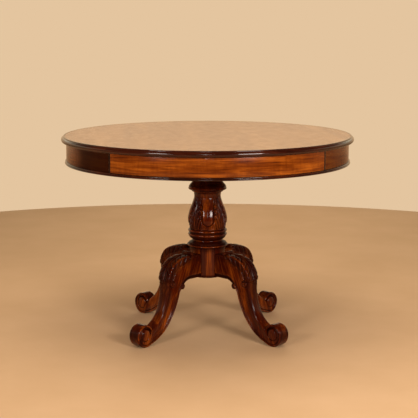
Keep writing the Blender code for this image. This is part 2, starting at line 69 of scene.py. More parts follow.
# Heights that the model gives
TOP_UNDERSIDE, TABLE_HEIGHT = (corner.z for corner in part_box("top_panel"))
BEAD_BOTTOM, FRIEZE_BOTTOM = (corner.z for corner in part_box("frieze_bead_front"))
PLATE_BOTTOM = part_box("pedestal_plate")[0].z
COLLAR_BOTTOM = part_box("column_collar")[0].z
VASE_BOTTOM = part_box("column_vase")[0].z
HUB_BOTTOM, FLANGE_BOTTOM = (corner.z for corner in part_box("hub_block"))
CAP_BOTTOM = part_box("hub_cap")[0].z

# Top, edge and frieze, turned on the pedestal
TOP_TURN = radians(4.35)
PANEL_RADIUS = 0.546
PANEL_EASE = 0.0006
EDGE_FILLET_RADIUS = 0.551
EDGE_FILLET_DEPTH = 0.0035
EDGE_QUIRK = 0.0008
NOSE_RADIUS = 0.0095
NOSE_CENTRE = (0.5502, TABLE_HEIGHT - 0.013)
NOSE_UNDERCUT = 0.001
FRIEZE_RADIUS = 0.541
FRIEZE_INNER = 0.521
FRIEZE_EASE = 0.0005
BEAD_RADIUS = 0.547
REED_RADIUS = 0.0027
REED_SETBACK = 0.001  # of the upper reed behind the lower one
REED_MEETING = 62  # degrees from level at which the reeds meet
STRIP_WIDTH = 0.007
STRIP_DEPTH = 0.003
STRIP_PROUD = 0.0001
HOOP_STEPS = 72  # to a quarter of the hoop
DARK_ENDS = (radians(16), radians(30))  # where a side veneer darkens, from its middle
END_DARKNESS = {"left": 0.92, "right": 0.42}

# Column and hub
TURNED_STEPS = 192
BORE_RADIUS = 0.0066
SPIGOT_RADIUS = 0.025
SPIGOT_LENGTH = 0.012
SOCKET_RADIUS = SPIGOT_RADIUS + GAP
COUNTERBORE_RADIUS = 0.020
COUNTERBORE_TOP = 0.244
HUB_STEPS = 288
HUB_RADIUS = 0.070
HUB_FLAT = 0.0645
HUB_FLAT_TOP = 0.3126
HUB_EASE = 0.0012

# Vase
VASE_ROWS = 190
VASE_STEPS = 432
VASE_NECK = (0.540, 0.508)  # heights between which the leaves fade into the plain neck
VASE_LEAF_ROOT = 0.400
VASE_LEAF_LENGTH = 0.145
VASE_LEAF_RISE = 0.0052
VASE_GROUND = -0.0034
TONGUE_HALF_WIDTH = 0.0212
TONGUE_FOOT = 0.4446  # height of the centre of its round end
TONGUE_CROWN = 0.0014
TONGUE_GROOVE = Moulding(0.0022, 0.0040, -0.0034)  # out from the tongue's edge
TONGUE_RIM = Moulding(0.0072, 0.0032, 0.0022)
HOOKS = (  # across, height and radius of the curled leaf tips beside a tongue
    (0.0296, 0.4930, 0.0072),
    (0.0318, 0.4750, 0.0078),
    (0.0300, 0.4560, 0.0072),
)
HOOK_RING = Moulding(1.15, 0.32, -0.0016)  # out from a tip's centre, in its radii

# Leg, along +X before it is turned to its corner. Distances along it start at the hub
FOOT_CENTRE = np.array((0.356, 0.0455))
FOOT_RADIUS = 0.0475
FOOT_EAR_RADIUS = 0.040
FOOT_START = (0.46, 0.52)
FINE_FLANK = 0.011  # of the flank by the inner side, in finer steps
GRAIN_LEAN = radians(70)
KNEE_CROWN = 0.0022
KNEE_LEAF = (0.046, 0.224)  # where it starts and ends along the leg
KNEE_LEAF_RISE = 0.0036
KNEE_RIDGE = Moulding(0.0262, 0.0038, 0.0042)  # out from the middle of the knee
KNEE_EDGING = Moulding(0.0018, 0.0026, 0.0024)  # out from the leaf's edge
KNEE_QUIRK = Moulding(-0.0022, 0.0026, -0.0014)
LEAF_LIFT = Moulding(-0.010, 0.010, 0.0014)  # on from the leaf's foot
LEAF_UNDERCUT = Moulding(0.002, 0.006, -0.0010)
LEAF_CURL = (0.2185, 0.2180)
LEAF_CURL_RADIUS = 0.0108
LEAF_CURL_TURNS = 1.15
LEAF_CURL_RING = Moulding(1.16 * LEAF_CURL_RADIUS, 0.0032, -0.0018)  # out from its centre
UNDER_CURL = (0.160, 0.200)
UNDER_CURL_RING = Moulding(0.0142, 0.0032, -0.0016)
TOP_ROLL = (0.109, 0.318)
ARCH_END = (0.138, 0.150)
ARCH_COVE = Moulding(0.0, 0.0160, -0.0044)  # out from the inner side, like the next four
ARCH_FILLET = Moulding(0.0182, 0.0022, 0.0014)
TRIM_BEAD = Moulding(0.0042, 0.0024, 0.0016)
TRIM_GROOVE = Moulding(0.0092, 0.0034, -0.0022)
TRIM_LINE = Moulding(0.0160, 0.0015, -0.0012)
TRIM_START = (0.140, 0.152)
FLANK_DISH = 0.0022

# Rolls across a leg, each as the (radius, half width) profile of one half
FOOT_EYE = [
    (0, 0.0262), (0.006, 0.0260), (0.013, 0.0254), (0.0180, 0.0246),
    (0.0203, 0.0234), (0.0214, 0.0212), (0.0216, 0.0180),
]
FOOT_CORE = [(0, 0.0186), (0.029, 0.0186), (0.031, 0.0176)]
CURL_ROLL = [
    (0, 0.0250), (0.0026, 0.0248), (0.0040, 0.0236), (0.0052, 0.0224),
    (0.0068, 0.0236), (0.0094, 0.0240), (0.0114, 0.0228), (0.0125, 0.0200),
]
HUB_ROLL = [
    (0, 0.0276), (0.0016, 0.0274), (0.0026, 0.0262), (0.0034, 0.0252),
    (0.0044, 0.0260), (0.0058, 0.0262), (0.0068, 0.0250), (0.0072, 0.0236),
]

# Dark, middle and light tones of each wood, as linear RGB
TOP_TONES = [(0.24, 0.090, 0.024), (0.31, 0.128, 0.038), (0.38, 0.168, 0.054)]
AMBER_TONES = [(0.070, 0.010, 0.0010), (0.200, 0.040, 0.0028), (0.400, 0.100, 0.0080)]
RED_TONES = [(0.105, 0.0160, 0.0020), (0.175, 0.0400, 0.0045), (0.250, 0.0740, 0.0090)]
RIM_TONES = [(0.011, 0.0016, 0.0008), (0.032, 0.0050, 0.0018), (0.075, 0.0140, 0.0042)]
CARVED_TONES = [(0.024, 0.0016, 0.0006), (0.070, 0.0078, 0.0010), (0.280, 0.0560, 0.0042)]
LINE_TONES = [(0.006, 0.0020, 0.0014), (0.012, 0.0035, 0.0020), (0.022, 0.0065, 0.0035)]
RAW_TONES = [(0.26, 0.13, 0.055), (0.36, 0.20, 0.090), (0.46, 0.28, 0.140)]
PINE_TONES = [(0.38, 0.24, 0.110), (0.50, 0.34, 0.170), (0.60, 0.43, 0.240)]
BEECH_TONES = [(0.48, 0.32, 0.160), (0.57, 0.40, 0.220), (0.64, 0.47, 0.290)]
STEEL_TONES = [(0.24, 0.24, 0.23), (0.46, 0.45, 0.42)]
FLOOR_TONES = [(0.58, 0.37, 0.20), (0.63, 0.41, 0.23)]
WALL = (0.775, 0.558, 0.347)

# Old polish in the hollows, painted shade and the darker ends of the side veneers, all laid on by the mesh's
# hollow value: its colour, how much it covers, roughens and takes off the gloss
PATINA_AND_SHADE = (0.0100, 0.0009, 0.0006)
PATINA_AND_SHADE_COVER = 0.94
PATINA_ROUGHNESS = 0.28
PATINA_DULLING = 0.42

# Cells of noise to the metre, along the grain and twice across it
STREAK_CELLS = (9, 190, 190)
PORE_CELLS = (55, 1500, 1500)
BAND_CELLS = (46, 9, 9)
BAND_STRENGTH_CELLS = (9, 14, 14)
SMEAR_CELLS = (14, 30, 30)
BRUSHED_CELLS = (90, 2400, 2400)
CLOUD_CELLS = (120, 120, 120)
FLOOR_CELLS = (3, 3, 3)


# ---------------------------------------------------------------- node materials


def new_node(tree, kind, inputs, **settings):
    """A node with its settings made and its inputs linked to sockets or set to values."""
    made = tree.nodes.new(kind)
    for key, value in settings.items():
        setattr(made, key, value)
    for key, value in inputs.items():
        if isinstance(value, bpy.types.NodeSocket):
            tree.links.new(value, made.inputs[key])
        else:
            made.inputs[key].default_value = value
    return made


def noise(tree, vector, cells, detail=4.0, roughness=0.55, distortion=0.0):
    """Noise with that many cells to the metre along each axis of the vector."""
    scaled = new_node(tree, "ShaderNodeMapping", {"Vector": vector, "Scale": cells})
    inputs = {
        "Vector": scaled.outputs["Vector"],
        "Scale": 1.0,
        "Detail": detail,
        "Roughness": roughness,
        "Distortion": distortion,
    }
    return new_node(tree, "ShaderNodeTexNoise", inputs).outputs["Fac"]


def maths(tree, operation, first, second, clamp=False):
    inputs = {0: first, 1: second}
    return new_node(tree, "ShaderNodeMath", inputs, operation=operation, use_clamp=clamp).outputs[0]


def plus(tree, first, second):
    return maths(tree, "ADD", first, second)


def minus(tree, first, second, clamp=False):
    return maths(tree, "SUBTRACT", first, second, clamp)


def times(tree, first, second, clamp=False):
    return maths(tree, "MULTIPLY", first, second, clamp)


def ramp(tree, factor, stops):
    """A colour ramp from (position, colour) stops, colours as linear RGB."""
    made = new_node(tree, "ShaderNodeValToRGB", {"Fac": factor})
    elements = made.color_ramp.elements
    while len(elements) < len(stops):
        elements.new(0.5)
    for element, (position, colour) in zip(elements, stops):
        element.position = position
        element.color = (*colour, 1.0)
    return made.outputs["Color"]


def mix(tree, factor, first, second, blend="MIX"):
    inputs = {0: factor, 6: first, 7: second}
    return new_node(tree, "ShaderNodeMix", inputs, data_type="RGBA", blend_type=blend).outputs[2]


def attribute(tree, name):
    return new_node(tree, "ShaderNodeAttribute", {}, attribute_name=name).outputs


def add_bump(tree, shader, height, strength, distance):
    inputs = {"Height": height, "Strength": strength, "Distance": distance}
    bump = new_node(tree, "ShaderNodeBump", inputs)
    tree.links.new(bump.outputs["Normal"], shader.inputs["Normal"])


def begin(name, grain):
    """A new material, its tree, its shader, and a vector whose X runs along the grain.

    The grain is the object's own axis of that name, or "mesh" for the one stored in the mesh.
    """
    material = bpy.data.materials.new(name)
    material.use_nodes = True
    tree = material.node_tree
    shader = tree.nodes["Principled BSDF"]
    if grain == "mesh":
        return material, tree, shader, attribute(tree, "grain")["Vector"]
    turns = {"X": (0, 0, 0), "Y": (0, 0, -pi / 2), "Z": (0, pi / 2, 0)}
    place_in_object = new_node(tree, "ShaderNodeTexCoord", {}).outputs["Object"]
    inputs = {"Vector": place_in_object, "Rotation": turns[grain]}
    vector = new_node(tree, "ShaderNodeMapping", inputs).outputs["Vector"]
    return material, tree, shader, vector


def wood_tone(tree, vector, figure, streak, bands):
    """Where the wood is dark or light: a broad figure, fine streaks and bands across the grain."""
    broad = noise(tree, vector, figure, 3.0, 0.5, 0.8)
    tone = plus(tree, times(tree, broad, 0.55), times(tree, streak, 0.45))
    if bands:
        strength = plus(tree, noise(tree, vector, BAND_STRENGTH_CELLS, 2.0, 0.5, 0.4), 0.5)
        band = minus(tree, noise(tree, vector, BAND_CELLS, 2.0, 0.45, 1.4), 0.5)
        tone = plus(tree, tone, times(tree, times(tree, band, bands), strength))
    return tone


def wood(
    name, tones, roughness, ior=1.5, grain="mesh", figure=(5, 26, 26), bands=0.0, pores=0.35, hollows=False
):
    """Wood with a figure of that many cells to the metre, streaks, pores and smears of polish.

    With hollows, old polish and painted shade lie where the mesh's own value says.
    """
    material, tree, shader, vector = begin(name, grain)
    streak = noise(tree, vector, STREAK_CELLS, 6.0, 0.62, 0.3)
    tone = wood_tone(tree, vector, figure, streak, bands)
    colour = ramp(tree, tone, list(zip((0.34, 0.50, 0.66), tones)))
    pore = noise(tree, vector, PORE_CELLS, 2.0, 0.5)
    pore_mask = ramp(tree, pore, [(0.56, (0, 0, 0)), (0.68, (1, 1, 1))])
    pore_colour = [0.30 * channel for channel in tones[0]]
    colour = mix(tree, times(tree, pore_mask, pores), colour, (*pore_colour, 1.0))
    smear = noise(tree, vector, SMEAR_CELLS, 3.0)
    varied = plus(tree, times(tree, smear, 0.5 * roughness), 0.75 * roughness)
    if hollows:
        hollow = attribute(tree, "hollow")["Fac"]
        # The hollow value darkens the colour with old polish, painted shade and the side veneers' darker ends
        colour = mix(tree, times(tree, hollow, PATINA_AND_SHADE_COVER, clamp=True), colour, (*PATINA_AND_SHADE, 1.0))
        varied = plus(tree, varied, times(tree, hollow, PATINA_ROUGHNESS))
        gloss = minus(tree, 0.5, times(tree, hollow, PATINA_DULLING), clamp=True)
        tree.links.new(gloss, shader.inputs["Specular IOR Level"])
    tree.links.new(colour, shader.inputs["Base Color"])
    tree.links.new(varied, shader.inputs["Roughness"])
    shader.inputs["IOR"].default_value = ior
    height = minus(tree, times(tree, streak, 0.4), times(tree, pore_mask, 0.5))
    add_bump(tree, shader, height, 0.10, 0.0003)
    return material


def steel(name):
    """Zinc-plated steel with a fine brushed grain and cloudy patches."""
    material, tree, shader, vector = begin(name, "Z")
    cloud = noise(tree, vector, CLOUD_CELLS, 4.0, 0.6)
    colour = ramp(tree, cloud, list(zip((0.3, 0.7), STEEL_TONES)))
    tree.links.new(colour, shader.inputs["Base Color"])
    shader.inputs["Metallic"].default_value = 1.0
    tree.links.new(plus(tree, times(tree, cloud, 0.25), 0.22), shader.inputs["Roughness"])
    add_bump(tree, shader, noise(tree, vector, BRUSHED_CELLS, 3.0), 0.15, 0.0002)
    return material


FINISH = {
    "mahogany_top": wood("polished_top", TOP_TONES, 0.24, 1.72, figure=(1.5, 14, 14), bands=0.08, pores=0.25),
    "mahogany_rim": wood("polished_rim", RIM_TONES, 0.12, 1.42),
    "mahogany_amber": wood("amber_veneer", AMBER_TONES, 0.17, 1.28, figure=(5, 60, 60), bands=0.12),
    "mahogany_red": wood("red_veneer", RED_TONES, 0.15, 1.24, figure=(5, 50, 50), bands=0.15, hollows=True),
    "mahogany_carved": wood("carved_mahogany", CARVED_TONES, 0.10, 1.28, hollows=True),
    "ebonised_line": wood("ebonised_line", LINE_TONES, 0.18, 1.42),
    "raw_mahogany": wood("raw_mahogany", RAW_TONES, 0.62, pores=0.5),
    "plated_steel": steel("plated_steel"),
}


# ---------------------------------------------------------------- mesh making


def skin(points, wrap_rows=False, caps=True):
    """Points in rows of closed rings, and the faces of a solid over them."""
    rows, columns = points.shape[:2]
    r, c = np.meshgrid(np.arange(rows if wrap_rows else rows - 1), np.arange(columns), indexing="ij")
    r_next, c_next = (r + 1) % rows, (c + 1) % columns
    corners = [r * columns + c, r * columns + c_next, r_next * columns + c_next, r_next * columns + c]
    faces = np.stack(corners, -1).reshape(-1, 4).tolist()
    if caps and not wrap_rows:
        faces.append(list(range(columns)))
        faces.append(list(range((rows - 1) * columns, rows * columns)))
    return points.reshape(-1, 3), faces


def build_mesh(name, bodies, sharp):
    """One mesh from bodies of (points, faces, grain, hollow), welded, with normals out.

    An edge that turns by more than the sharp angle, in degrees, is shaded as an edge.
    """
    points, grain, hollow = (np.concatenate([body[part] for body in bodies]) for part in (0, 2, 3))
    faces, start = [], 0
    for body in bodies:
        faces += [[i + start for i in face] for face in body[1]]
        start += len(body[0])
    mesh = bpy.data.meshes.new(name)
    mesh.from_pydata(points.tolist(), [], faces)
    grain_values = mesh.attributes.new("grain", "FLOAT_VECTOR", "POINT")
    grain_values.data.foreach_set("vector", grain.astype(np.float32).ravel())
    hollow_values = mesh.attributes.new("hollow", "FLOAT", "POINT")
    hollow_values.data.foreach_set("value", hollow.astype(np.float32))
    bm = bmesh.new()
    bm.from_mesh(mesh)
    bmesh.ops.remove_doubles(bm, verts=bm.verts, dist=1e-6)
    bmesh.ops.recalc_face_normals(bm, faces=bm.faces)
    bm.to_mesh(mesh)
    bm.free()
    mesh.shade_smooth()
    mesh.set_sharp_from_angle(angle=radians(sharp))
    return mesh


def show(name, node, bodies, slot, turn=0.0, sharp=38, raw_at=None):
    """Show bodies as one piece, turned about Z, that stands for its CAD node.

    Its faces have the finish of its slot, and raw wood where the test picks them.
    """
    mesh = build_mesh(name, bodies, sharp)
    mesh.materials.append(FINISH[slot])
    if raw_at:
        mesh.materials.append(FINISH["raw_mahogany"])
        for face in mesh.polygons:
            face.material_index = int(raw_at(face))
    mesh.transform(Matrix.Rotation(turn, 4, "Z"))
    piece = bpy.data.objects.new(name, mesh)
    bpy.context.scene.collection.objects.link(piece)
    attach(piece, "root")
    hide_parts(node)


def spline(points, samples):
    """A Catmull-Rom curve through the points, with samples steps from each to the next."""
    points = np.asarray(points, float)
    counts = np.broadcast_to(samples, len(points) - 1)
    padded = np.concatenate([[2 * points[0] - points[1]], points, [2 * points[-1] - points[-2]]])
    rows = []
    for i, count in enumerate(counts):
        before, here, after, beyond = padded[i : i + 4]
        t = (np.arange(count) / count)[:, None]
        rows.append(
            here
            + 0.5 * t * (after - before)
            + t * t * (before - 2.5 * here + 2 * after - 0.5 * beyond)
            + 0.5 * t**3 * (3 * here - before - 3 * after + beyond)
        )
    return np.concatenate([*rows, points[-1:]])


def arc(centre, radius, start, end, steps):
    """Points round a centre from one angle to another, in degrees."""
    angles = np.radians(np.linspace(start, end, steps + 1))
    return np.stack([centre[0] + radius * np.cos(angles), centre[1] + radius * np.sin(angles)], -1)


def ring(radius, z, angles):
    """Points round the axis at those angles, radii and heights."""
    x, y = radius * np.cos(angles), radius * np.sin(angles)
    return np.stack([x, y, np.broadcast_to(z, x.shape)], -1)


def smoothstep(start, end, value):
    """0 before the start and 1 past the end, whichever way they run, with a smooth step between."""
    t = np.clip((value - start) / (end - start), 0.0, 1.0)
    return t * t * (3 - 2 * t)


def bump_at(distance, width):
    """A smooth bump, 1 at distance 0 and 0 from the width on."""
    return (1 - np.clip(np.abs(distance) / width, 0, 1) ** 2) ** 2


def soft(distance, moulding):
    """1 on a moulding's middle and 0 from its half width on, as a smooth bump."""
    return bump_at(distance - moulding.at, moulding.width)


def half_round(distance, width):
    """A half-round bead, 1 at distance 0 and 0 from the width on."""
    return np.sqrt(np.clip(1 - (distance / width) ** 2, 0, 1))


# ---------------------------------------------------------------- hoop pieces


def swept(section_at, start, end, steps, offset):
    """A closed (radius, z) section carried round the axis. Its grain runs round too."""
    stations = section_at(np.linspace(start, end, steps + 1))
    angles = np.array([station[0] for station in stations])[:, None]
    sections = np.array([station[1] for station in stations])
    radius, z = sections[..., 0], sections[..., 1]
    along = np.broadcast_to(angles * FRIEZE_RADIUS + offset, z.shape)
    grain = np.stack([along, z, radius], -1).reshape(-1, 3)
    points, faces = skin(ring(radius, z, angles))
    return points, faces, grain, np.zeros(len(points))


def constant(section):
    """The same section at every angle."""
    return lambda angles: [(angle, section) for angle in angles]


def quarter_middle(index):
    return radians(-90 + 90 * index)


def quarter(index, radius):
    """Start and end of a quarter of the hoop, half a gap short of its joints at that radius."""
    half = radians(45) - GAP / 2 / radius
    return quarter_middle(index) - half, quarter_middle(index) + half


def edge_section():
    """The edge moulding: a fillet level with the top, a small quirk and a round nose."""
    shelf = TABLE_HEIGHT - EDGE_FILLET_DEPTH
    inner = PANEL_RADIUS + GAP / 2
    lip = (EDGE_FILLET_RADIUS - PANEL_EASE, TABLE_HEIGHT - PANEL_EASE)
    quirk = (EDGE_FILLET_RADIUS + EDGE_QUIRK, shelf + EDGE_QUIRK / 2)
    return np.concatenate([
        [(inner, TABLE_HEIGHT - 0.0001)],
        arc(lip, PANEL_EASE, 90, 0, 4),
        arc(quirk, EDGE_QUIRK, 180, 270, 3),
        arc(NOSE_CENTRE, NOSE_RADIUS, 66, -90, 26),
        [(NOSE_CENTRE[0] - NOSE_UNDERCUT, TOP_UNDERSIDE), (inner, TOP_UNDERSIDE)],
    ])


def bead_section():
    lower = (BEAD_RADIUS - REED_RADIUS, BEAD_BOTTOM + REED_RADIUS)
    upper = (lower[0] - REED_SETBACK, lower[1] + 2 * REED_RADIUS)
    return np.concatenate([
        [(FRIEZE_INNER, FRIEZE_BOTTOM), (upper[0], FRIEZE_BOTTOM)],
        arc(upper, REED_RADIUS, 90, -REED_MEETING, 10),
        arc(lower, REED_RADIUS, REED_MEETING, -90, 10),
        [(FRIEZE_INNER, BEAD_BOTTOM)],
    ])


def frieze_section(outer):
    low, high = FRIEZE_BOTTOM + GAP, TOP_UNDERSIDE - GAP
    eased = outer - FRIEZE_EASE
    return np.concatenate([
        [(FRIEZE_INNER, high)],
        arc((eased, high - FRIEZE_EASE), FRIEZE_EASE, 90, 0, 3),
        arc((eased, low + FRIEZE_EASE), FRIEZE_EASE, 0, -90, 3),
        [(FRIEZE_INNER, low)],
    ])


def frieze_stations(angles):
    """Sections along a quarter of the frieze, stepped in at both ends for the joint strips."""
    rebate = (STRIP_WIDTH / 2 + GAP) / FRIEZE_RADIUS
    floor = frieze_section(FRIEZE_RADIUS - STRIP_DEPTH - GAP)
    face = frieze_section(FRIEZE_RADIUS)
    first, last = angles[0] + rebate, angles[-1] - rebate
    middle = [(angle, face) for angle in np.linspace(first, last, len(angles))]
    return [(angles[0], floor), (first, floor), *middle, (last, floor), (angles[-1], floor)]


def strip_section():
    low, high = FRIEZE_BOTTOM + GAP, TOP_UNDERSIDE - GAP
    inner, outer = FRIEZE_RADIUS - STRIP_DEPTH, FRIEZE_RADIUS + STRIP_PROUD
    return np.array([(inner, high), (outer, high), (outer, low), (inner, low)])


def make_top():
    """The flat round panel, polished above and raw beneath, its grain from front to back."""
    flat = PANEL_RADIUS - PANEL_EASE
    profile = np.concatenate([
        [(radius, TABLE_HEIGHT) for radius in np.linspace(0.0, flat, 24)[:-1]],
        arc((flat, TABLE_HEIGHT - PANEL_EASE), PANEL_EASE, 90, 0, 4),
        [(radius, TOP_UNDERSIDE) for radius in (PANEL_RADIUS, PANEL_RADIUS / 2, 0.0)],
    ])
    points, faces = turned_points(profile, 4 * HOOP_STEPS)
    grain = points[:, [1, 0, 2]] + np.array((0.31, 0.07, 0.0))
    bodies = [(points, faces, grain, np.zeros(len(points)))]
    show(
        "table_top", "top_panel", bodies, "mahogany_top", TOP_TURN,
        raw_at=lambda face: face.normal.z < -0.5,
    )


def make_edge(index, side):
    body = swept(constant(edge_section()), *quarter(index, PANEL_RADIUS), HOOP_STEPS, index)
    show(f"edge_moulding_{side}", f"top_edge_{side}", [body], "mahogany_rim", TOP_TURN)


def make_frieze(index, side):
    """A quarter of the frieze: amber at front and back, red with darker ends at the sides."""
    ends = quarter(index, FRIEZE_INNER)
    points, faces, grain, hollow = swept(frieze_stations, *ends, HOOP_STEPS, 0.37 + index)
    slot = "mahogany_amber"
    if side in END_DARKNESS:
        slot = "mahogany_red"
        bearing = np.arctan2(points[:, 1], points[:, 0])
        from_middle = np.abs((bearing - quarter_middle(index) + pi) % (2 * pi) - pi)
        hollow = END_DARKNESS[side] * smoothstep(*DARK_ENDS, from_middle)
    bodies = [(points, faces, grain, hollow)]
    show(
        f"frieze_veneer_{side}", f"frieze_{side}", bodies, slot, TOP_TURN,
        raw_at=lambda face: face.center.xy.length < FRIEZE_RADIUS - STRIP_DEPTH / 2,
    )


def make_bead(index, side):
    ends = quarter(index, FRIEZE_INNER)
    body = swept(constant(bead_section()), *ends, HOOP_STEPS, 0.71 + index)
    show(f"reeded_bead_{side}", f"frieze_bead_{side}", [body], "mahogany_rim", TOP_TURN)


def make_strip(index, corner):
    joint = quarter_middle(index) + radians(45)
    half = STRIP_WIDTH / 2 / FRIEZE_RADIUS
    body = swept(constant(strip_section()), joint - half, joint + half, 4, index)
    show(f"stringing_{corner}", f"frieze_strip_{corner}", [body], "ebonised_line", TOP_TURN)


def make_hoop():
    for index, side in enumerate(SIDES):
        make_edge(index, side)
        make_frieze(index, side)
        make_bead(index, side)
    for index, corner in enumerate(CORNERS):
        make_strip(index, corner)


# ---------------------------------------------------------------- turned pieces


def turned_points(profile, steps):
    """Points and faces of a solid turned about Z, from a (radius, z) profile.

    The profile ends on the axis, or where it starts.
    """
    profile = np.asarray(profile)
    angles = np.linspace(0, 2 * pi, steps, endpoint=False)
    rings = ring(profile[:, 0:1], profile[:, 1:2], angles)
    return skin(rings, wrap_rows=profile[0, 0] > 0, caps=False)


def upright_grain(points, offset):
    return points[:, [2, 0, 1]] + np.array((offset, 0.0, 0.0))


def show_carved(name, node, points, faces, hollow, grain_offset, sharp):
    bodies = [(points, faces, upright_grain(points, grain_offset), hollow)]
    show(name, node, bodies, "mahogany_carved", sharp=sharp)


def show_turned(name, node, profile, crests, shade_all_over, grain_offset):
    """A turned piece, darkened all over with painted shade and old polish, save each (height, width) crest of
    its profile, left light as a painted highlight.
    """
    points, faces = turned_points(profile, TURNED_STEPS)
    # Painted shade all over, lifted off each crest, which is left light as a painted highlight
    bright = np.max([bump_at(points[:, 2] - height, width) for height, width in crests], axis=0)
    show_carved(name, node, points, faces, shade_all_over * (1 - bright), grain_offset, 55)


def make_collar():
    """The cap under the top: a half-round, a long hollow, a rounded lip and a small ring."""
    top, bottom = PLATE_BOTTOM - GAP, COLLAR_BOTTOM
    socket = bottom + SPIGOT_LENGTH
    hollow_and_lip = [
        (0.0690, 0.6635), (0.0625, 0.6570), (0.0550, 0.6475), (0.0510, 0.6330), (0.0500, 0.6180),
        (0.0510, 0.6050), (0.0555, 0.5925), (0.0627, 0.5816), (0.0697, 0.5738), (0.0728, 0.5672),
    ]
    profile = np.concatenate([
        [(0.0715, top)],
        arc((0.0705, 0.6695), 0.0045, 60, -75, 10),
        spline(hollow_and_lip, 6),
        arc((0.0705, 0.5612), 0.0040, 48, -72, 10),
        spline([(0.0700, 0.5566), (0.0640, 0.5545), (0.0600, 0.5540)], 5),
        arc((0.0592, 0.5519), 0.0024, 80, -80, 10),
        [(0.0560, bottom), (SOCKET_RADIUS, bottom), (SOCKET_RADIUS, socket)],
        [(BORE_RADIUS, socket), (BORE_RADIUS, top)],
    ])
    crests = [(0.670, 0.006), (0.5520, 0.0030), (0.5640, 0.0060)]
    show_turned("turned_collar", "column_collar", profile, crests, 0.75, 0.3)


def make_base():
    """The rings under the vase: two half-rounds, a waist with a bead, and the hub's flange."""
    top, bottom = VASE_BOTTOM - GAP, FLANGE_BOTTOM + GAP
    upper_end, lower_end = top + SPIGOT_LENGTH, bottom - SPIGOT_LENGTH
    profile = np.concatenate([
        [(SPIGOT_RADIUS, upper_end), (SPIGOT_RADIUS, top), (0.0690, top), (0.0700, 0.4022)],
        arc((0.0712, 0.3968), 0.0048, 80, -80, 14),
        [(0.0690, 0.3905), (0.0690, 0.3872)],
        arc((0.0706, 0.3812), 0.0052, 80, -65, 14),
        spline([(0.0715, 0.3735), (0.0680, 0.3682), (0.0610, 0.3628), (0.0580, 0.3612)], 6),
        arc((0.0575, 0.3590), 0.0018, 75, -75, 8),
        spline([(0.0590, 0.3570), (0.0640, 0.3540), (0.0700, 0.3505)], 5),
        arc((0.0705, 0.3475), 0.0028, 70, -60, 8),
        [(0.0735, 0.3442)],
        arc((0.0762, 0.3402), 0.0034, 85, -85, 10),
        [(0.0740, bottom), (SPIGOT_RADIUS, bottom), (SPIGOT_RADIUS, lower_end)],
        [(BORE_RADIUS, lower_end), (BORE_RADIUS, upper_end)],
    ])
    crests = [(0.3985, 0.0050), (0.3825, 0.0055), (0.3594, 0.0026), (0.3400, 0.0042)]
    show_turned("turned_base", "column_base", profile, crests, 0.9, 0.9)


def make_cap():
    """The hub's thin cap, with a rounded rim over a drawn-in foot."""
    rim = HUB_BOTTOM - GAP
    profile = np.concatenate([
        [(0.0, rim), (0.060, rim)],
        arc((0.0595, rim - 0.0026), 0.0026, 90, -60, 8),
        spline([(0.0595, rim - 0.0054), (0.0560, rim - 0.0068), (0.0500, CAP_BOTTOM)], 5),
        [(0.030, CAP_BOTTOM), (0.0, CAP_BOTTOM)],
    ])
    show_turned("hub_cap_turning", "hub_cap", profile, [(rim - 0.0020, 0.0030)], 0.9, 2.4)


def make_hub():
    """The hub's block, round between the legs and flat behind them."""
    angles = np.linspace(0, 2 * pi, HUB_STEPS, endpoint=False)
    to_leg = np.abs(angles % (pi / 2) - pi / 4)
    round_radius = np.full(HUB_STEPS, HUB_RADIUS)
    squared_radius = np.minimum(HUB_RADIUS, HUB_FLAT / np.cos(to_leg))
    rows = [
        (round_radius - HUB_EASE, FLANGE_BOTTOM),
        (round_radius, FLANGE_BOTTOM - HUB_EASE),
        (round_radius, HUB_FLAT_TOP),
        *[(squared_radius, z) for z in np.linspace(HUB_FLAT_TOP, HUB_BOTTOM + HUB_EASE, 12)],
        (squared_radius - HUB_EASE, HUB_BOTTOM),
        (COUNTERBORE_RADIUS, HUB_BOTTOM),
        (COUNTERBORE_RADIUS, COUNTERBORE_TOP),
        (BORE_RADIUS, COUNTERBORE_TOP),
        (BORE_RADIUS, FLANGE_BOTTOM - SPIGOT_LENGTH),
        (SOCKET_RADIUS, FLANGE_BOTTOM - SPIGOT_LENGTH),
        (SOCKET_RADIUS, FLANGE_BOTTOM),
    ]
    points, faces = skin(np.array([ring(radius, z, angles) for radius, z in rows]), wrap_rows=True)
    # Painted shade in the corners beside each leg, under the flange and round the foot, and a little over all
    # the outside
    bearing = np.arctan2(points[:, 1], points[:, 0])
    flat_edge = acos(HUB_FLAT / HUB_RADIUS)
    beside_leg = bump_at(np.abs(bearing % (pi / 2) - pi / 4) - flat_edge, 0.05)
    below_flange = smoothstep(0.318, 0.336, points[:, 2])
    foot = smoothstep(0.232, 0.224, points[:, 2])
    hub_shade = np.maximum.reduce([beside_leg, below_flange, foot, np.full(len(points), 0.12)])
    outside = np.hypot(points[:, 0], points[:, 1]) > 0.05
    show_carved("hub_turning", "hub_block", points, faces, hub_shade * outside, 1.7, 38)


# ---------------------------------------------------------------- carving


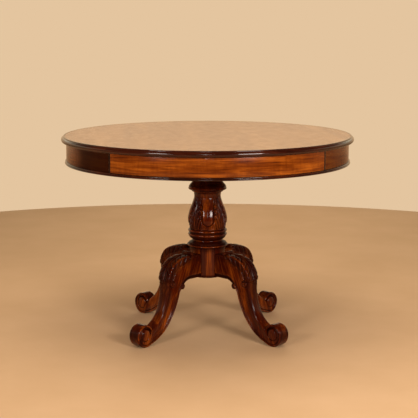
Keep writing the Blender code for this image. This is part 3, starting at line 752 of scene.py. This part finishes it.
def acanthus(along, across, lobes, sweep):
    """Height and depth of shade of a carved leaf.

    along is 0 at its root and 1 at its tip. across is 0 on its midrib and 1 at its edge.
    Its lobes lean towards the tip, each with fine veins and a lifted tip.
    """
    phase = (along - sweep * across**0.8) * lobes
    part = phase - np.floor(phase)
    swell = 1 - np.abs(2 * part - 1) ** 3
    reach = across / (0.80 + 0.20 * swell)
    body = 1 - smoothstep(0.92, 1.02, reach)
    outward = smoothstep(0.06, 0.30, across)
    split = bump_at(np.minimum(part, 1 - part), 0.16) * outward
    veins = 0.5 - 0.5 * np.cos(4 * pi * part)
    lift = bump_at(part - 0.5, 0.36) * bump_at(reach - 0.82, 0.20)
    midrib = bump_at(across, 0.06)
    channel = bump_at(across - 0.11, 0.07)
    crown = 1 - (2 * part - 1) ** 2
    height = 0.35 + (0.40 * crown + 0.20 * veins) * outward + 0.35 * lift
    height += 0.45 * midrib - 0.35 * channel - 0.45 * split
    shade = 0.95 * split + 0.60 * channel + 0.40 * (1 - veins) * outward
    return body * height, np.clip(body * shade, 0, 1)


def coiled(bearing, turns):
    """A spiral ridge, 1 on its crest and 0 in its groove, so many turns out from its centre."""
    return 0.5 + 0.5 * np.cos(bearing + 2 * pi * turns)


def vase_radius(z):
    outline = [
        (0.0560, 0.5487), (0.0522, 0.5420), (0.0503, 0.5300), (0.0540, 0.5150),
        (0.0597, 0.4990), (0.0656, 0.4860), (0.0702, 0.4710), (0.0737, 0.4560),
        (0.0754, 0.4420), (0.0745, 0.4250), (0.0725, 0.4120), (0.0705, 0.4043),
    ]
    profile = spline(outline, 12)[::-1]
    return np.interp(z, profile[:, 1], profile[:, 0])


def tongues_and_leaves(radius, turn, z):
    """Rise and hollow of the vase's four plain tongues and the four leaves between them. The hollow is
    painted shade, deep in the leaves and in the groove round each tongue, less on its rim.

    The turn is from the middle of the nearest tongue.
    """
    beyond = np.hypot(radius * turn, np.minimum(z - TONGUE_FOOT, 0.0)) - TONGUE_HALF_WIDTH
    on_tongue = 1 - smoothstep(0.0, 0.0012, beyond)
    tongue = TONGUE_CROWN * np.sqrt(np.clip(-beyond / TONGUE_HALF_WIDTH, 0, 1)) - 0.0002
    groove = soft(beyond, TONGUE_GROOVE) * (0.10 + 0.90 * smoothstep(0.520, 0.490, z))
    rim = soft(beyond, TONGUE_RIM) * smoothstep(0.456, 0.444, z)

    leaf_half = radius * pi / 4 - TONGUE_HALF_WIDTH - 0.0030
    from_rib = radius * (pi / 4 - np.abs(turn)) / np.maximum(leaf_half, 0.004)
    leaf, shade = acanthus((z - VASE_LEAF_ROOT) / VASE_LEAF_LENGTH, from_rib, 4, 0.80)
    on_leaf = (1 - on_tongue) * smoothstep(*VASE_NECK, z)
    rise = on_tongue * tongue + on_leaf * (VASE_LEAF_RISE * leaf + VASE_GROUND)
    rise = rise + TONGUE_GROOVE.rise * groove + TONGUE_RIM.rise * rim
    # Painted shade in the leaves and the groove, less on the rim, and a little on the tongue
    hollow = np.maximum(on_leaf * (0.36 + 0.64 * shade), groove) * (1 - 0.8 * rim)
    return rise, hollow + 0.10 * on_tongue


def add_hooks(radius, turn, z, rise, hollow):
    """The coiled leaf tips in a row at each side of a tongue, laid over the rise and hollow, with painted
    shade in each coil's groove and in the cut ring round it.
    """
    across = np.abs(radius * turn)
    for hook_across, hook_z, hook_radius in HOOKS:
        away = np.hypot(across - hook_across, z - hook_z) / hook_radius
        coil = coiled(np.arctan2(z - hook_z, hook_across - across), away)
        rise = np.where(away < 1, 0.0018 * half_round(away, 1.0) + 0.0028 * coil - 0.0008, rise)
        # Painted shade in the coil's groove and in the cut ring round the tip
        hollow = np.where(away < 1, 0.95 * (1 - coil), hollow)
        around = soft(away, HOOK_RING)
        rise = rise + HOOK_RING.rise * around
        hollow = np.maximum(hollow, around)
    return rise, hollow


def make_vase():
    """The column's vase: four plain tongues between four acanthus leaves."""
    top, bottom = COLLAR_BOTTOM - GAP, VASE_BOTTOM
    z = np.linspace(top, bottom, VASE_ROWS)[:, None]
    angles = np.linspace(0, 2 * pi, VASE_STEPS, endpoint=False)
    turn = (angles + pi / 4) % (pi / 2) - pi / 4
    radius = vase_radius(z)
    rise, hollow = add_hooks(radius, turn, z, *tongues_and_leaves(radius, turn, z))
    carved = smoothstep(0.547, 0.536, z) * smoothstep(0.4045, 0.4085, z)
    # Painted shade on the foot of the vase and on its top, under the collar
    foot = 1 - smoothstep(0.4045, 0.4075, z)
    neck = 0.6 * smoothstep(0.538, 0.548, z)
    hollow = np.maximum(hollow * carved, np.maximum(foot, neck))
    outside = ring(radius + rise * carved, z, angles)
    socket_end, spigot_end = bottom + SPIGOT_LENGTH + GAP, top + SPIGOT_LENGTH
    inside = [
        (SOCKET_RADIUS, bottom), (SOCKET_RADIUS, socket_end), (BORE_RADIUS, socket_end),
        (BORE_RADIUS, spigot_end), (SPIGOT_RADIUS, spigot_end), (SPIGOT_RADIUS, top),
    ]
    rings = np.concatenate([outside, [ring(*level, angles) for level in inside]])
    points, faces = skin(rings, wrap_rows=True)
    hollow = np.concatenate([hollow.ravel(), np.zeros(len(inside) * VASE_STEPS)])
    show_carved("carved_vase", "column_vase", points, faces, hollow, 4.1, 60)


# ---------------------------------------------------------------- legs


def leg_stations():
    """Rows of outer s, outer z, inner s, inner z, half width, outer and inner corner radius.

    s runs out from the column's axis. Round the foot's scroll, outer is the side of its eye.
    """
    knots = [
        (0.0648, 0.3120, 0.0648, 0.2225, 0.0270, 0.006, 0.004),
        (0.1050, 0.3130, 0.0980, 0.2225, 0.0272, 0.008, 0.004),
        (0.1570, 0.3140, 0.1360, 0.2210, 0.0280, 0.007, 0.004),
        (0.2090, 0.2930, 0.1630, 0.2020, 0.0280, 0.007, 0.004),
        (0.2390, 0.2490, 0.1780, 0.1810, 0.0270, 0.009, 0.004),
        (0.2435, 0.1960, 0.1840, 0.1560, 0.0245, 0.011, 0.004),
        (0.2525, 0.1520, 0.1970, 0.1200, 0.0225, 0.010, 0.004),
        (0.2680, 0.1145, 0.2210, 0.0800, 0.0220, 0.009, 0.004),
        (0.2885, 0.0880, 0.2540, 0.0440, 0.0222, 0.007, 0.004),
        (0.3110, 0.0700, 0.2920, 0.0190, 0.0228, 0.005, 0.004),
        (0.3230, 0.0560, 0.3130, 0.0100, 0.0232, 0.003, 0.004),
    ]
    samples = [26, 34, 38, 36, 34, 16, 14, 12, 11, 11]
    for degrees in (-128, -104, -80, -55, -30, 0, 30, 60, 90, 118, 142, 160):
        from_sole = min(abs(1 - (degrees + 90) / 180), 1.0)
        ribbon = FOOT_EAR_RADIUS + (FOOT_RADIUS - FOOT_EAR_RADIUS) * from_sole**3
        ribbon += 0.0025 * max(1 - abs(degrees + 128) / 24, 0)
        ribbon -= 0.0025 * (max(degrees - 90, 0) / 70) ** 2
        eye = 0.0232 + 0.0110 * (max(degrees + 30, 0) / 190) ** 2
        away = np.array((cos(radians(degrees)), sin(radians(degrees))))
        outer, inner = FOOT_CENTRE + eye * away, FOOT_CENTRE + ribbon * away
        knots.append((*outer, *inner, 0.0240, 0.0015, 0.0042))
        samples.append(8)
    return spline(knots, samples)


def leg_columns(half, depth, outer_round, inner_round):
    """Across one half of each ring, from the outer middle to the inner middle.

    Returns sideways, inward, and their outward normals, and the distance from the outer middle.
    """
    zones = []

    def add(side, sink, n_side, n_sink, around):
        zones.append(np.broadcast_arrays(side, sink, n_side, n_sink, around))

    outer_face, inner_face = half - outer_round, half - inner_round
    flank = depth - outer_round - inner_round
    fine = np.minimum(FINE_FLANK, flank * 0.45)
    coarse = flank - fine
    t = np.linspace(0, 1, 13, endpoint=False)
    add(outer_face * t, 0.0, 0.0, -1.0, outer_face * t)
    t = np.linspace(0, pi / 2, 11, endpoint=False)
    side, sink = outer_face + outer_round * np.sin(t), outer_round * (1 - np.cos(t))
    add(side, sink, np.sin(t), -np.cos(t), outer_face + outer_round * t)
    reached = outer_face + outer_round * pi / 2
    t = np.linspace(0, 1, 26, endpoint=False)
    add(half, outer_round + coarse * t, 1.0, 0.0, reached + coarse * t)
    t = np.linspace(0, 1, 14, endpoint=False)
    add(half, outer_round + coarse + fine * t, 1.0, 0.0, reached + coarse + fine * t)
    reached = reached + flank
    t = np.linspace(0, pi / 2, 6, endpoint=False)
    side, sink = inner_face + inner_round * np.cos(t), depth - inner_round * (1 - np.sin(t))
    add(side, sink, np.cos(t), np.sin(t), reached + inner_round * t)
    reached = reached + inner_round * pi / 2
    t = np.linspace(0, 1, 6)
    add(inner_face * (1 - t), depth, 0.0, 1.0, reached + inner_face * t)
    return [np.concatenate(parts, 1) for parts in zip(*zones)]


def leg_blank():
    """One half of the leg and its scroll before carving, as a grid of rows and columns.

    The carving then adds to its rise, along the normals, and to its hollow.
    """
    rows = leg_stations()
    outer = rows[:, 0:2]
    span = rows[:, 2:4] - outer
    depth = np.hypot(*span.T)[:, None]
    half, outer_round, inner_round = (rows[:, k : k + 1] for k in (4, 5, 6))
    steps = np.hypot(*np.diff(outer, axis=0).T)
    along = np.concatenate([[0], np.cumsum(steps)])[:, None]
    side, sink, n_side, n_sink, around = leg_columns(half, depth, outer_round, inner_round)
    leg = SimpleNamespace(outer=outer, inward=span / depth, depth=depth, along=along)
    leg.around, leg.from_inner = around, depth - sink
    leg.side, leg.n_side, leg.n_sink = side, n_side, n_sink
    leg.on_flank = n_side > 0.9
    leg.above_foot = 1 - smoothstep(0.40, 0.47, along)
    leg.sink = sink - KNEE_CROWN * (side / half) ** 2 * leg.above_foot * np.minimum(n_sink, 0.0)
    leg.s, leg.z = surface_at(leg, leg.sink)
    leg.rise = np.zeros(side.shape)

    # Darker all over, with painted light in a band up the middle of the flank, painted shade on the flank by
    # the hub, and painted light from the ankle down, where the leg faces up
    up_flank = leg.from_inner / np.maximum(depth, 0.03)
    hollow = 0.60 - 0.60 * bump_at(up_flank - 0.42, 0.42) * leg.on_flank
    shade_by_hub = smoothstep(0.165, 0.120, leg.s) * leg.on_flank
    leg.hollow = np.maximum(hollow, 0.30 * shade_by_hub) * (1 - 0.9 * smoothstep(0.29, 0.38, along))
    return leg


def surface_at(leg, sink):
    """s and z of the leg's points, sunk so far in from its outer outline."""
    return (leg.outer[:, k : k + 1] + leg.inward[:, k : k + 1] * sink for k in (0, 1))


def carve_knee_leaf(leg):
    """An acanthus leaf down the knee, ridged at its sides and edged with a bead and a quirk."""
    start, end = KNEE_LEAF
    along, around = leg.along, leg.around
    reach = 0.036 + 0.017 * smoothstep(0.040, 0.100, along) - 0.006 * smoothstep(0.180, end, along)
    down = (along - start) / (end - start)
    leaf, shade = acanthus(down, around / reach, 6, 0.34)
    past_foot = along - end - 0.006 * np.cos(np.clip(around / 0.030, 0, 1) * pi)
    past_edge = around - reach
    present = smoothstep(0.0, 0.06, down) * (1 - smoothstep(-0.0035, 0.0, past_foot))
    covered = present * (past_edge < 0)
    lift = soft(past_foot, LEAF_LIFT) * covered
    undercut = soft(past_foot, LEAF_UNDERCUT) * (past_edge < 0)
    down_knee = smoothstep(0.060, 0.090, along) * smoothstep(0.225, 0.190, along)
    ridge = soft(around, KNEE_RIDGE) * down_knee
    edging = soft(past_edge, KNEE_EDGING) * present * smoothstep(0.075, 0.110, along)
    quirk = soft(past_edge, KNEE_QUIRK) * present
    quirk_line = bump_at(past_edge - KNEE_QUIRK.at, 0.0022) * present

    rise = (KNEE_LEAF_RISE * leaf * present + LEAF_LIFT.rise * lift) * (1 - 0.9 * ridge)
    rise = rise + KNEE_RIDGE.rise * ridge + KNEE_EDGING.rise * edging
    leg.rise = rise + KNEE_QUIRK.rise * quirk + LEAF_UNDERCUT.rise * undercut
    # Painted shade over the leaf, in its undercut and in the quirk, none on the ridge and the edging
    hollow = np.where(covered > 0.5, 0.68 + 0.32 * shade, leg.hollow)
    hollow = hollow * (1 - 0.8 * edging) * (1 - ridge)
    leg.hollow = np.maximum(hollow, 0.9 * np.maximum(undercut, quirk_line))


def carve_leaf_curl(leg):
    """The leaf's tip, coiled on the flank with a cut ring round it."""
    s, z = leg.s - LEAF_CURL[0], leg.z - LEAF_CURL[1]
    away = np.hypot(s, z)
    coil = coiled(np.arctan2(z, s), -LEAF_CURL_TURNS * away / LEAF_CURL_RADIUS)
    sideways = leg.n_side > 0.6
    on_curl = (1 - smoothstep(0.85, 1.0, away / LEAF_CURL_RADIUS)) * sideways
    around = soft(away, LEAF_CURL_RING) * sideways
    leg.rise = leg.rise * (1 - on_curl) + on_curl * (0.0022 + 0.0026 * coil)
    leg.rise = leg.rise + LEAF_CURL_RING.rise * around
    # Painted shade in the cut ring and in the coil's groove
    leg.hollow = np.maximum.reduce([leg.hollow * (1 - on_curl), around, on_curl * (1 - coil)])


def carve_arch(leg):
    """A cove with a fillet above it, up the arch under the knee, and a ring round the curl there."""
    on_arch = (1 - smoothstep(*ARCH_END, leg.along)) * (leg.n_side > 0.3)
    cove = np.clip(1 - leg.from_inner / ARCH_COVE.width, 0, 1) * on_arch
    fillet = soft(leg.from_inner, ARCH_FILLET) * on_arch
    leg.rise = leg.rise + ARCH_COVE.rise * cove + ARCH_FILLET.rise * fillet
    # Painted shade in the cove, none on the fillet
    leg.hollow = np.maximum(leg.hollow, smoothstep(0.0, 0.25, cove)) * (1 - fillet)
    away = np.hypot(leg.s - UNDER_CURL[0], leg.z - UNDER_CURL[1])
    around = soft(away, UNDER_CURL_RING) * leg.on_flank
    leg.rise = leg.rise + UNDER_CURL_RING.rise * around
    # Painted shade in the ring round the curl
    leg.hollow = np.maximum(leg.hollow, around)


def carve_trim(leg):
    """A bead and a groove along the inner side and round the foot, and a line and a dished flank."""
    trimmed = leg.on_flank * smoothstep(*TRIM_START, leg.along)
    groove = soft(leg.from_inner, TRIM_GROOVE) * trimmed
    line = soft(leg.from_inner, TRIM_LINE) * trimmed * leg.above_foot
    bead = half_round(leg.from_inner - TRIM_BEAD.at, TRIM_BEAD.width) * trimmed
    up_dish = np.clip((leg.from_inner - 0.015) / np.maximum(leg.depth - 0.030, 0.01), 0, 1)
    dish = 4 * up_dish * (1 - up_dish) * trimmed * leg.above_foot * smoothstep(0.22, 0.27, leg.along)
    leg.rise = leg.rise + TRIM_GROOVE.rise * groove + TRIM_LINE.rise * line
    leg.rise = leg.rise + TRIM_BEAD.rise * bead - FLANK_DISH * dish
    # Painted shade in the groove and the line, less on the bead
    leg.hollow = np.maximum.reduce([leg.hollow, 0.95 * groove, 0.7 * line]) * (1 - 0.5 * bead)


def darken_toe(leg):
    """Darker on the front of the foot's scroll."""
    bearing = np.degrees(np.arctan2(leg.z - FOOT_CENTRE[1], leg.s - FOOT_CENTRE[0]))
    toe = bump_at(bearing - 2, 58) * smoothstep(0.5, 0.9, leg.n_sink)
    leg.hollow = np.maximum(leg.hollow, 0.85 * toe * smoothstep(*FOOT_START, leg.along))


def carved_leg():
    """Points, faces and hollow of the leg and its scroll, as one skin."""
    leg = leg_blank()
    carve_knee_leaf(leg)
    carve_leaf_curl(leg)
    carve_arch(leg)
    # Less painted shade on the foot's scroll, as painted light where it faces up
    leg.hollow = leg.hollow * (1 - 0.75 * smoothstep(*FOOT_START, leg.along))
    carve_trim(leg)
    darken_toe(leg)
    side = leg.side + leg.n_side * leg.rise
    s, z = surface_at(leg, leg.sink + leg.n_sink * leg.rise)
    right = np.stack([s, side, np.maximum(z, 0.0)], -1)
    left = (right * np.array((1, -1, 1)))[:, -2:0:-1]
    hollow = np.concatenate([leg.hollow, leg.hollow[:, -2:0:-1]], 1)
    points, faces = skin(np.concatenate([right, left], 1))
    return points, faces, hollow.ravel()


def roll(centre, half_profile, darkness, steps=48):
    """Points, faces and hollow of a roll that lies across the leg."""
    half = np.asarray(half_profile)
    profile = np.concatenate([half, (half * np.array((1, -1)))[::-1]])
    angles = np.linspace(0, 2 * pi, steps, endpoint=False)
    s, z, y = np.moveaxis(ring(profile[:, 0:1], profile[:, 1:2], angles), -1, 0)
    points, faces = skin(np.stack([centre[0] + s, y, centre[1] + z], -1), caps=False)
    return points, faces, np.full(len(points), darkness)


def make_legs():
    # Painted shade on the core in the scroll's recess and over the rolls under the knee and by the hub; the
    # eye is left light
    parts = [
        carved_leg(),
        roll(FOOT_CENTRE, FOOT_EYE, 0.0),
        roll(FOOT_CENTRE, FOOT_CORE, 1.0),
        roll(UNDER_CURL, CURL_ROLL, 0.7),
        roll(TOP_ROLL, HUB_ROLL, 0.7),
    ]
    for index, corner in enumerate(CORNERS):
        bodies = []
        for points, faces, hollow in parts:
            s, y, z = points.T
            down = s * cos(GRAIN_LEAN) - z * sin(GRAIN_LEAN)
            cross = s * sin(GRAIN_LEAN) + z * cos(GRAIN_LEAN)
            grain = np.stack([down + 1.3 * index, y, cross], -1)
            bodies.append((points, faces, grain, hollow))
        turn = radians(-45 + 90 * index)
        show(f"carved_leg_{corner}", f"leg_{corner}", bodies, "mahogany_carved", turn, 60)


# ---------------------------------------------------------------- pieces kept from the model


def finish_kept_nodes():
    """New materials for the frame, the screws, the rod and the dowels."""
    pine = {axis: wood(f"frame_wood_{axis}", PINE_TONES, 0.60, grain=axis, pores=0.3) for axis in "XYZ"}
    beech = wood("beech_dowel", BEECH_TONES, 0.55, grain="X", pores=0.3)
    finishes = (  # for a node with this in its name, the first that fits
        ("screw", FINISH["plated_steel"]),
        ("rod", FINISH["plated_steel"]),
        ("bearer", pine["Y"]),
        ("pedestal_plate", pine["X"]),
        ("frieze_block", pine["Z"]),
        ("dowel", beech),
    )
    for name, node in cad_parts.items():
        material = next((finish for part, finish in finishes if part in name), None)
        if material:
            for slot in node.material_slots:
                slot.material = material


# ---------------------------------------------------------------- stage, light, camera


def make_stage():
    bm = bmesh.new()
    bmesh.ops.create_circle(bm, cap_ends=True, segments=96, radius=3.0)
    mesh = bpy.data.meshes.new("studio_floor")
    bm.to_mesh(mesh)
    bm.free()
    floor = bpy.data.objects.new("studio_floor", mesh)
    floor.location.z = -0.0005
    bpy.context.scene.collection.objects.link(floor)
    material, tree, shader, vector = begin("pale_floor", "X")
    speck = noise(tree, vector, FLOOR_CELLS, 5.0)
    tree.links.new(ramp(tree, speck, list(zip((0.3, 0.7), FLOOR_TONES))), shader.inputs["Base Color"])
    shader.inputs["Roughness"].default_value = 0.7
    shader.inputs["Specular IOR Level"].default_value = 0.2
    mesh.materials.append(material)


def make_world():
    """A plain wall to look at, and light as from one bright wall behind and a dim room before it."""
    world = bpy.data.worlds.new("studio")
    bpy.context.scene.world = world
    world.use_nodes = True
    tree = world.node_tree
    direction = new_node(tree, "ShaderNodeTexCoord", {}).outputs["Generated"]
    parts = new_node(tree, "ShaderNodeSeparateXYZ", {"Vector": direction}).outputs
    upwards = times(tree, plus(tree, parts["Z"], 1.0), 0.5)
    light = ramp(tree, upwards, [
        (0.42, (0.42, 0.25, 0.12)),
        (0.49, (0.86, 0.56, 0.30)),
        (0.57, (0.90, 0.62, 0.36)),
        (0.63, (1.34, 1.17, 0.82)),
        (0.72, (0.20, 0.15, 0.10)),
        (0.80, (0.06, 0.045, 0.03)),
    ])
    backwards = times(tree, plus(tree, parts["Y"], 1.0), 0.5)
    share = ramp(tree, backwards, [(0.30, (0.10, 0.10, 0.10)), (0.62, (1, 1, 1))])
    light = mix(tree, 1.0, light, share, "MULTIPLY")
    seen = new_node(tree, "ShaderNodeLightPath", {}).outputs["Is Camera Ray"]
    tree.links.new(mix(tree, seen, light, (*WALL, 1.0)), tree.nodes["Background"].inputs["Color"])


def area_light(name, location, target, size, power, colour, glossy=True):
    """A rectangular lamp that is never seen itself, and in the polish only if it is glossy."""
    light = bpy.data.lights.new(name, "AREA")
    light.shape = "RECTANGLE"
    light.size, light.size_y = size
    light.energy = power
    light.color = colour
    lamp = bpy.data.objects.new(name, light)
    bpy.context.scene.collection.objects.link(lamp)
    lamp.location = location
    lamp.rotation_euler = (Vector(target) - Vector(location)).to_track_quat("-Z", "Y").to_euler()
    lamp.visible_camera = False
    lamp.visible_glossy = glossy


def make_lights():
    """Three low windows in front, whose reflections model the gloss, and soft light above and behind."""
    warm, cool = (1.0, 0.86, 0.70), (1.0, 0.91, 0.84)
    height, table = 1.46, (0, 0, 0.45)
    area_light("key_right", (1.60, -2.90, height), table, (1.0, 0.52), 74, cool)
    area_light("key_left", (-1.95, -2.70, height), table, (0.8, 0.52), 37, cool)
    area_light("key_middle", (-0.12, -3.30, height), table, (0.3, 0.52), 8, cool)
    area_light("ceiling", (0.0, -0.4, 3.4), (0, 0, 0), (3.0, 3.0), 84, warm, glossy=False)
    area_light("back_fill", (0.4, 3.4, 2.2), (0, 0, 0.5), (2.4, 1.4), 40, warm, glossy=False)


def make_camera():
    distance, height = 4.4036, 1.2305
    turn, tilt = radians(-1.28), radians(9.69445)
    data = bpy.data.cameras.new("camera")
    data.sensor_width = 36.0
    data.lens = 98.888
    data.shift_x = 0.003589
    data.shift_y = -0.000478
    camera = bpy.data.objects.new("camera", data)
    bpy.context.scene.collection.objects.link(camera)
    camera.location = (distance * sin(turn), -distance * cos(turn), height)
    facing = Matrix.Rotation(turn, 3, "Z") @ Matrix.Rotation(pi / 2 - tilt, 3, "X")
    camera.rotation_euler = facing.to_euler()
    bpy.context.scene.camera = camera


make_camera()
make_stage()
make_world()
make_lights()
make_top()
make_hoop()
make_collar()
make_vase()
make_base()
make_hub()
make_cap()
make_legs()
finish_kept_nodes()
bpy.context.scene.view_settings.view_transform = "Standard"

bpy.context.view_layer.update()
